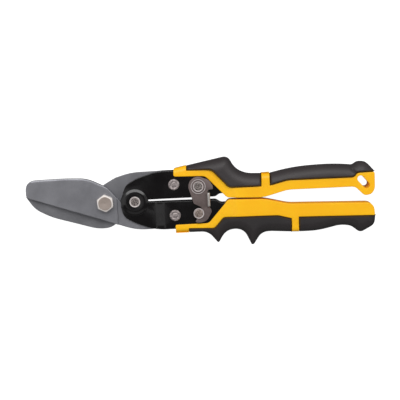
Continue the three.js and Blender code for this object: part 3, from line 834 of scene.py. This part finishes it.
LATCH_BOTTOM = 7.3
LATCH_TOP = 9.3
PIN_SEAT = LATCH_TOP + GAP
PIN_RADIUS = 4.65
PIN_WAIST = 1.6  # the pin is thin where the latch hooks it
WAIST_FOOT = 7
catch = turned(CATCH, [
    [0, PIN_SEAT + 0.95], [3.7, PIN_SEAT + 0.95, 0.1], [3.95, PIN_SEAT + 1.25, 0.15],
    [4.3, PIN_SEAT + 1.25, 0.15], [PIN_RADIUS, PIN_SEAT + 0.8, 0.2], [PIN_RADIUS, PIN_SEAT],
    [PIN_WAIST, PIN_SEAT, 0.2], [PIN_WAIST, WAIST_FOOT, 0.2], [3.4, WAIST_FOOT, 0.2], [3.4, SEAT],
    [2.4, SEAT], [2.4, -SEAT], *back_head(-SEAT),
])
place("catch_pin_turned", [catch], LATCH_BEAD, "lower_handle", ["catch_pin"])
punched_disc("catch_pin_face", CATCH, 3.75, PIN_SEAT + 1.0, "lower_handle", PIN_FACE)

RING = 0.6
LATCH_HEAD = LATCH_TOP + 2 * GAP + RING
latch_rivet = beaded_rivet(LATCH_PIVOT, 4.6, SHANK, LATCH_HEAD, -SEAT, 0.85, 0.9)
place("latch_rivet", [latch_rivet], LATCH_BEAD, "upper_handle", ["latch_pivot_rivet"])
punched_disc("latch_rivet_centre", LATCH_PIVOT, 3.75, LATCH_HEAD + 0.4, "upper_handle",
             RIVET_CENTRE)

RING_Z = LATCH_TOP + GAP
latch_ring = turned(LATCH_PIVOT, [
    [5.75, RING_Z], [6.35, RING_Z, 0.1], [6.35, RING_Z + 0.5, 0.15], [5.75, RING_Z + 0.5, 0.15],
])
latch_washer = turned(LATCH_PIVOT, [
    [RIVET_HOLE, RING_Z], [5.7, RING_Z], [5.7, RING_Z + 0.15, 0.05],
    [RIVET_HOLE, RING_Z + 0.15, 0.05],
])
place("latch_ring", [latch_ring], LATCH_BEAD, "latch", ["latch_washer"])
place("latch_washer_face", [latch_washer], LATCH_STEEL, "latch")


# ---- latch ----------------------------------------------------------------------------------
LATCH = [
    *arc(LATCH_PIVOT, 8.5, 63, 190, 34),
    [76.5, -3.7, 1.2], [83.0, -7.1, 1], [83.6, -10.2, 1], [82.8, -12.9, 0.3],
    [77.5, -18.9, 0.3], [77.8, -20, 0.6], [81.2, -20.7, 2], [87.4, -19.2, 3], [92.3, -11, 2],
    [90.6, -7.6, 0.8], [88.9, -7, 0.4], [88.9, 6, 0.4], [90, 7.8, 0.6], [93.6, 8, 0.8],
    [94, 10.2, 1.2], [90.8, 16.2, 2.5],
]
TAB = [[88.6, -6.5, 0.3], [90.9, -6.5, 0.5], [90.9, 5.5, 0.5], [88.6, 5.5, 0.3]]
TAB_TOP = 13.5
latch_edge, _ = outline(LATCH)
latch_plate = slab([latch_edge, circle(LATCH_PIVOT, RIVET_HOLE)],
                   edged([latch_edge], LATCH_TOP, 0.4), edged([latch_edge], LATCH_BOTTOM, 0.2, -1),
                   (0.07, 0.2, 0.4))
tab_edge, _ = outline(TAB, spacing=0.5)
tab = slab([tab_edge], edged([tab_edge], TAB_TOP, 1.1), level(LATCH_BOTTOM),
           (0.08, 0.25, 0.5, 0.8, 1.05))
place("latch_hook", [latch_plate], LATCH_STEEL, "latch", ["latch_lever"])
place("latch_tab", [tab], TAB_STEEL, "latch")


# ---- handle mouldings -----------------------------------------------------------------------
BAND_HALF = 6.9  # half the thickness beside the bare plates
BODY_HALF = 8.4  # and behind them
BODY_RAMP = [107.0, 115.0]
OUTER_EDGE = 0.45
HOLE_EDGE = 0.3
UPPER_BODY = [
    [60.1, 21.0, 1], [60.4, 27.0, 1.8], [71.4, 29.2, 0.3], [71.4, 24.9, 0.5], [92.9, 24.6, 3],
    [107.6, 8.4, 2.5], [135.7, 8.4], [136.2, 19.7], [143, 19.9], [143.1, 8.7], [158.5, 12.6, 3],
    [216.2, 12.5, 2.5], [219.2, 16.4, 2], [233.9, 16.3, 1], [233.7, 1.6, 3.2], [230.4, -2.7, 2.3],
    [224.4, -3.6, 2.4], [216.6, 4.5, 3], [158.5, 4.5, 4], [136.8, -1.2, 5], [105.8, 0, 2],
    [87.4, 19.5, 3], [61.4, 20.3, 0.8],
]
LOWER_BODY = [
    [59.9, -21.7, 1.6], [60.0, -29.0, 0.8], [71.4, -29.0, 0.3], [71.4, -25.2, 0.5], [93.6, -26, 2],
    [102, -16.9, 1.5], [149, -17.3, 2], [160.8, -20.5], [160.6, -32.4], [166.7, -32.6],
    [166.9, -19.4], [233, -21, 1.2], [232.4, -10, 7], [158.5, -7.7, 4], [137.2, -2.5, 5],
    [106.6, -1.8, 2], [88.9, -21.5, 2.5],
]
UPPER_OUTER = [  # the outer side of each handle, from which a moulding's face rises
    [57, 27.0], [60.4, 27.4], [71.4, 29.4], [107.6, 35.8], [113, 23], [121.5, 19.5],
    [134.9, 19.4], [143.4, 19.6], [165, 23.6], [198, 24.6],
]
LOWER_OUTER = [
    [57, -28.3], [88, -28.6], [96.2, -38.2], [102.8, -28.5], [119.4, -28.5], [126.3, -42],
    [133.2, -31.6], [141, -31.1], [159.8, -32.4], [168, -32.7], [183, -32.7],
]
HANGING_HOLE = [[221.6, 11.1], [226.6, 5.3]]
HANGING_HOLE_RADIUS = 2.8
HOLE_TAPER = 1.5  # the hole is this much shorter at the back, at its lower end
TAPER_REACH = 4.0


def moulding_face(ring, holes, outer, crown):
    """Front of a yellow moulding: it steps up behind the bare plates, its edges are rounded, and
    it falls away towards the outer side of the handle."""
    outer = np.array(outer, float)

    def face(points):
        height = BAND_HALF + (BODY_HALF - BAND_HALF) * smooth(points[:, 0], *BODY_RAMP)
        for line, radius in [(ring, OUTER_EDGE)] + [(hole, HOLE_EDGE) for hole in holes]:
            height = height - rounded(distance_to(points, line, closed=True), radius)
        return height - rounded(distance_to(points, outer), crown)

    return face


def moulding(corners, holes, outer, crown):
    """A yellow moulding, alike on both sides but for the hanging hole."""
    ring, _ = outline(corners, spacing=0.9)
    front = moulding_face(ring, holes, outer, crown)
    vertices, faces = slab([ring] + holes, front, lambda points: -front(points),
                           (0.06, 0.18, 0.3, 0.6), grid=1.3)
    points = np.array(vertices)
    for hole in holes:
        first, second = np.array(HANGING_HOLE, float)
        along = second - first
        share = np.clip((points[:, :2] - first) @ along / (along @ along), 0, 1)
        share *= 1 - np.clip(distance_to(points[:, :2], hole, closed=True) / TAPER_REACH, 0, 1)
        share *= points[:, 2] < 0
        points[:, :2] -= along / np.linalg.norm(along) * (HOLE_TAPER * share)[:, None]
    return points.tolist(), faces


def hanging_hole():
    """The ring of a slot with round ends."""
    first, second = (np.array(end) for end in HANGING_HOLE)
    heading = math.degrees(math.atan2(*(second - first)[::-1]))
    return np.array(
        arc(second, HANGING_HOLE_RADIUS, heading - 90, heading + 90, 18)
        + arc(first, HANGING_HOLE_RADIUS, heading + 90, heading + 270, 18)
    )


upper_body = moulding(UPPER_BODY, [hanging_hole()], UPPER_OUTER, crown=4.5)
lower_body = moulding(LOWER_BODY, [], LOWER_OUTER, crown=3.5)
place("upper_moulding", [upper_body], YELLOW, "upper_handle", ["upper_handle_body"])
place("lower_moulding", [lower_body], YELLOW, "lower_handle", ["lower_handle_body"])


# ---- rubber grips ---------------------------------------------------------------------------
KNOB_CREASE = np.array([[214.0, 24.0], [214.2, 20.5], [217.5, 16.5], [221.0, 15.5]])
CREASE_DEPTH = 1.4
CREASE_WIDTH = 1.1
SEAM_OVERLAP = 0.45  # the rubber reaches this far into the moulding, so no light passes the seam
SEAM_ROUNDING = 1.1
GROOVE_DEPTH = 2.2
GROOVE_REACH = 1.4
CROWN_SHARE = 0.85


def grip(outer, inner, crown, crest, shoulder, swell):
    """A rubber grip: outer corners are its free side, and inner ones follow the moulding. The face
    is rounded off over the crown's width, and sinks by the swell towards the moulding."""
    ring, owners = outline(outer + inner, spacing=0.9)
    meets = owners >= len(outer) - 1
    along = np.roll(ring, -1, axis=0) - np.roll(ring, 1, axis=0)
    along /= np.linalg.norm(along, axis=1)[:, None]
    area = np.sum(ring[:, 0] * np.roll(ring[:, 1], -1) - np.roll(ring[:, 0], -1) * ring[:, 1])
    outwards = np.stack([along[:, 1], -along[:, 0]], axis=1) * np.sign(area)
    ring = ring + outwards * (SEAM_OVERLAP * meets)[:, None]
    free = ring[~meets]
    joint = ring[meets]

    def front(points):
        from_free = distance_to(points, free)
        from_joint = distance_to(points, joint)
        rise = swell * np.cos(np.clip(from_joint / shoulder, 0, 1) * math.pi / 2) ** 1.5
        groove = GROOVE_DEPTH * np.clip(1 - from_joint / GROOVE_REACH, 0, 1)
        crease = CREASE_DEPTH * np.exp(-((distance_to(points, KNOB_CREASE) / CREASE_WIDTH) ** 2))
        edges = CROWN_SHARE * rounded(from_free, crown)
        return crest - edges - rise - rounded(from_joint, SEAM_ROUNDING) - groove - crease

    return slab([ring], front, lambda points: -front(points),
                (0.08, 0.3, 0.55, 0.85, 1.4, 2.1), grid=1.0)


UPPER_FRONT = (
    [[71.7, 28.9], [107.6, 35.8, 5], [113.4, 25, 5], [122.3, 19.8, 6], [135.7, 19.3]],
    [[135.3, 8.8], [107.8, 8.8, 2.5], [93.1, 25, 3], [71.7, 25.3]],
)
UPPER_REAR = (
    [[143.4, 19.2], [165, 23.8, 14], [198, 24.9, 12], [215.4, 23.1, 1.8], [219.4, 25.9, 2.2],
     [226.8, 25.6, 3.5], [234.4, 16.9]],
    [[219.0, 16.8, 2], [216, 12.9, 2.5], [158.4, 13.0, 3], [143.5, 9.2]],
)
LOWER_FRONT = (
    [[71.7, -28.9], [88, -29.0, 6], [96.6, -39.6, 2], [103.9, -27.9, 7.4], [118.9, -27.9, 7.4],
     [125.3, -42.1, 1], [127.2, -42.1, 1], [134, -32.2, 4.5], [141, -31.1, 3], [160.3, -32.5]],
    [[160.4, -20.9], [149, -17.7, 2], [101.9, -17.3, 1.5], [93.7, -26.4, 2], [71.7, -25.6]],
)
LOWER_REAR = (
    [[167.2, -32.7], [183, -32.7, 8], [203, -28.3, 5], [212, -29.7, 3], [219.8, -36.1, 3.5],
     [232.6, -29.5, 4], [233.6, -21.4]],
    [[167.2, -19.8]],
)
UPPER_SHAPE = {"crown": 10, "crest": 11, "shoulder": 2.0, "swell": 1.4}
LOWER_SHAPE = {"crown": 8, "crest": 10.2, "shoulder": 4.0, "swell": 0.0}
place("upper_front_rubber", [grip(*UPPER_FRONT, **UPPER_SHAPE)], RUBBER, "upper_handle",
      ["upper_front_grip"])
place("upper_rear_rubber", [grip(*UPPER_REAR, **UPPER_SHAPE)], RUBBER, "upper_handle",
      ["upper_rear_grip"])
place("lower_front_rubber", [grip(*LOWER_FRONT, **LOWER_SHAPE)], SHADED_LOWER_RUBBER, "lower_handle",
      ["lower_front_grip"])
place("lower_rear_rubber", [grip(*LOWER_REAR, **LOWER_SHAPE)], SHADED_LOWER_RUBBER, "lower_handle",
      ["lower_rear_grip"])


# ---- return spring --------------------------------------------------------------------------
SPRING_RADIUS = 6.3
SPRING_WIRE = 0.65
SPRING_TURNS = 2.5
SPRING_HEIGHT = 4.0
SPRING_LEG = 13.0
SPRING_SHARP = 60


def coil_point(turns):
    angle = math.pi / 2 + 2 * math.pi * turns
    return [
        HANDLE_PIVOT[0] + SPRING_RADIUS * math.cos(angle),
        HANDLE_PIVOT[1] + SPRING_RADIUS * math.sin(angle),
        (0.5 - turns / SPRING_TURNS) * SPRING_HEIGHT,
    ]


def leg(start, shares):
    """Points from an end of the coil towards the handles' ends."""
    return [[start[0] + SPRING_LEG * share, start[1], start[2]] for share in shares]


coil = [coil_point(turns) for turns in np.linspace(0, SPRING_TURNS, 121)]
coil += leg(coil[-1], np.linspace(0.1, 1, 6))
upper_leg = leg(coil_point(0), np.linspace(-0.05, 1, 8))
place("spring_coil", [swept(coil, SPRING_WIRE)], SPRING_STEEL, "lower_handle", ["return_spring"],
      sharp=SPRING_SHARP)
place("spring_leg", [swept(upper_leg, SPRING_WIRE)], SPRING_STEEL, "upper_handle",
      sharp=SPRING_SHARP)


# ---- CAD nodes that stay --------------------------------------------------------------------
UNSEEN = ("handle_pivot_spacer", "latch_pivot_spacer", "catch_pin_spacer", "latch_wave_washer")
for name in UNSEEN:
    node = frame["nodes"][name]
    node.data.materials.clear()
    node.data.materials.append(RIVET)


# ---- floor, light and camera ----------------------------------------------------------------
def backdrop(name, vertices, faces, glow, seen):
    """A sheet of paper: a white one that the camera sees, or a grey one that lights the tool."""
    mesh = bpy.data.meshes.new(name)
    mesh.from_pydata(vertices, [], faces)
    sheet = bpy.data.objects.new(name, mesh)
    bpy.context.scene.collection.objects.link(sheet)
    n = Nodes(name + "_paper")
    mottle = n.ramp(n.noise(900, 3), 0, 1)
    mesh.materials.append(n.finish(
        Base_Color=n.mix(mottle, (0.25, 0.25, 0.25, 1), (0.27, 0.27, 0.27, 1)), Roughness=0.9,
        Specular_IOR_Level=0.0, Emission_Color=(1, 1, 1, 1), Emission_Strength=glow,
    ))
    sheet.visible_camera = seen
    sheet.visible_diffuse = sheet.visible_glossy = not seen
    sheet.visible_transmission = sheet.visible_volume_scatter = not seen


TENT = 2.6  # metres, like everything below
TENT_HEIGHT = 1.7
SHEETS = [  # ending of the names, glow of the floor and of the wall, drop of the floor, seen
    ("", 1.0, 1.0, 0.0003, True),
    ("_bounce", 0.12, 0.3, 0.0006, False),
]
around = np.radians(np.arange(0, 360, 7.5))
wall = [(TENT * math.cos(a), TENT * math.sin(a), z) for a in around for z in (0.0, TENT_HEIGHT)]
wall_faces = [
    (2 * i, (2 * i + 2) % len(wall), (2 * i + 3) % len(wall), 2 * i + 1)
    for i in range(len(around))
]
for ending, floor_glow, wall_glow, drop, seen in SHEETS:
    square = [(-TENT, -TENT), (TENT, -TENT), (TENT, TENT), (-TENT, TENT)]
    floor = [(x, y, -drop) for x, y in square]
    backdrop("floor" + ending, floor, [(0, 1, 2, 3)], floor_glow, seen)
    backdrop("tent" + ending, wall, wall_faces, wall_glow, seen)

WORLD_GLOW = 0.15
world = bpy.data.worlds.new("studio")
bpy.context.scene.world = world
world.use_nodes = True
ambient = world.node_tree.nodes["Background"]
ambient.inputs["Color"].default_value = (1, 1, 1, 1)
ambient.inputs["Strength"].default_value = WORLD_GLOW

CENTRE = Vector((0.0821, -0.0017, MID_HEIGHT / MM))  # the point in the middle of the picture


def softbox(name, position, size, watts):
    """A soft light that faces the centre, at a position counted from it."""
    light = bpy.data.lights.new(name, "AREA")
    light.shape = "RECTANGLE"
    light.size, light.size_y = size
    light.energy = watts
    lamp = bpy.data.objects.new(name, light)
    lamp.location = CENTRE + Vector(position)
    lamp.rotation_euler = (CENTRE - lamp.location).to_track_quat("-Z", "Y").to_euler()
    lamp.visible_camera = False
    bpy.context.scene.collection.objects.link(lamp)


softbox("key", (0.0, 0.75, 1.1), (1.8, 0.6), 16.5)
softbox("left", (-1.2, 0.1, 0.8), (0.9, 1.2), 3)
softbox("right", (1.2, 0.2, 0.8), (0.9, 1.2), 3)
softbox("front", (0.0, -1.1, 0.9), (1.8, 0.8), 1.5)
softbox("glint", (-0.4, -0.1, 1.3), (0.3, 0.5), 0.4)

DISTANCE = 1.3
FIELD = 0.348
TILT = math.radians(6)
ROLL = math.radians(2.7)
picture_up = Vector((math.sin(ROLL), math.cos(ROLL), 0))
picture_right = Vector((math.cos(ROLL), -math.sin(ROLL), 0))
backward = math.sin(TILT) * picture_up + math.cos(TILT) * Vector((0, 0, 1))
camera_up = math.cos(TILT) * picture_up - math.sin(TILT) * Vector((0, 0, 1))
lens = bpy.data.cameras.new("camera")
lens.angle = 2 * math.atan(FIELD / 2 / DISTANCE)
lens.clip_start = 0.01
camera = bpy.data.objects.new("camera", lens)
facing = Matrix((picture_right, camera_up, backward)).transposed()
camera.matrix_world = Matrix.Translation(CENTRE + DISTANCE * backward) @ facing.to_4x4()
bpy.context.scene.collection.objects.link(camera)
bpy.context.scene.camera = camera
bpy.context.scene.view_settings.view_transform = "Standard"

bpy.context.view_layer.update()
